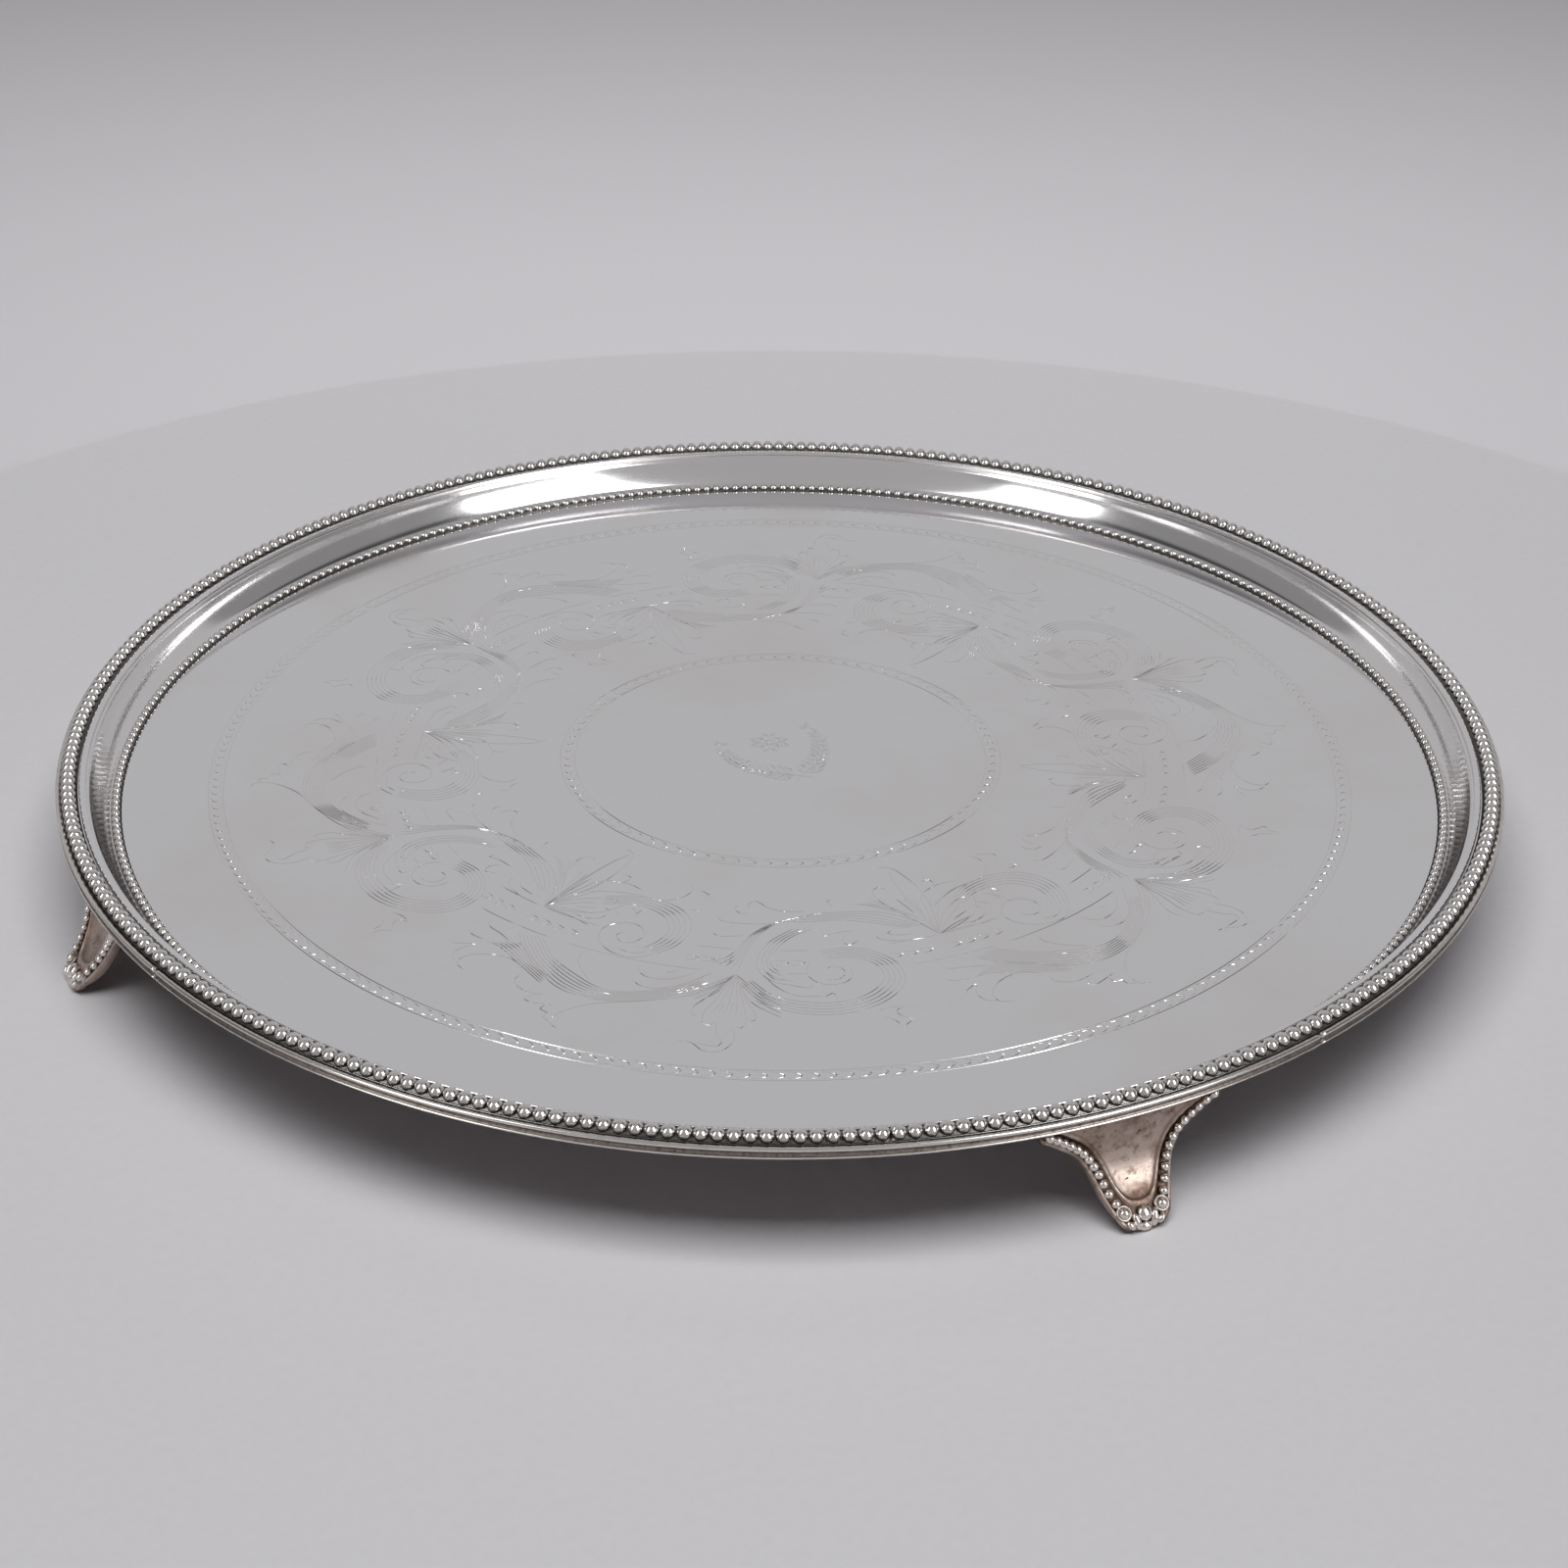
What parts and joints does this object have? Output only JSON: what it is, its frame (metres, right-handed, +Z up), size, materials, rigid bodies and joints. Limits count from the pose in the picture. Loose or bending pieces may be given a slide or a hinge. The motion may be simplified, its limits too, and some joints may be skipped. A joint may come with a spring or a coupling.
{
  "type": "silver salver",
  "caption": "Round footed silver tray with a raised beaded border, a cove and an engraved flat field, on low bracket feet.",
  "frame": {"origin": "on the table, under the middle of the tray", "axes": "+Z up; the feet stand on +X, +Y, -X and -Y; the device in the middle of the field is upright seen from -Y"},
  "size_m": [0.471, 0.471, 0.0415],
  "materials": {
    "plate_silver": "polished sterling silver with fine wear scratches and bright-cut engraving",
    "moulding_silver": "polished silver with grey tarnish in the corners",
    "bead_silver": "polished silver beads with dark tarnish between them",
    "foot_silver": "cast silver with a brown tarnish and small pits",
    "foot_bead_silver": "polished silver beads with dark tarnish round them"
  },
  "bodies": {
    "root": {"salver_plate": "plate_silver", "fillet_moulding": "moulding_silver", "edge_moulding_1": "moulding_silver", "border_bead_wire_1": "bead_silver", "field_bead_wire_1": "bead_silver", "foot_bracket_1": "foot_silver", "foot_bead_edging_1": "foot_bead_silver", "edge_moulding_2": "moulding_silver", "border_bead_wire_2": "bead_silver", "field_bead_wire_2": "bead_silver", "foot_bracket_2": "foot_silver", "foot_bead_edging_2": "foot_bead_silver", "edge_moulding_3": "moulding_silver", "border_bead_wire_3": "bead_silver", "field_bead_wire_3": "bead_silver", "foot_bracket_3": "foot_silver", "foot_bead_edging_3": "foot_bead_silver", "edge_moulding_4": "moulding_silver", "border_bead_wire_4": "bead_silver", "field_bead_wire_4": "bead_silver", "foot_bracket_4": "foot_silver", "foot_bead_edging_4": "foot_bead_silver"}
  },
  "joints": []
}
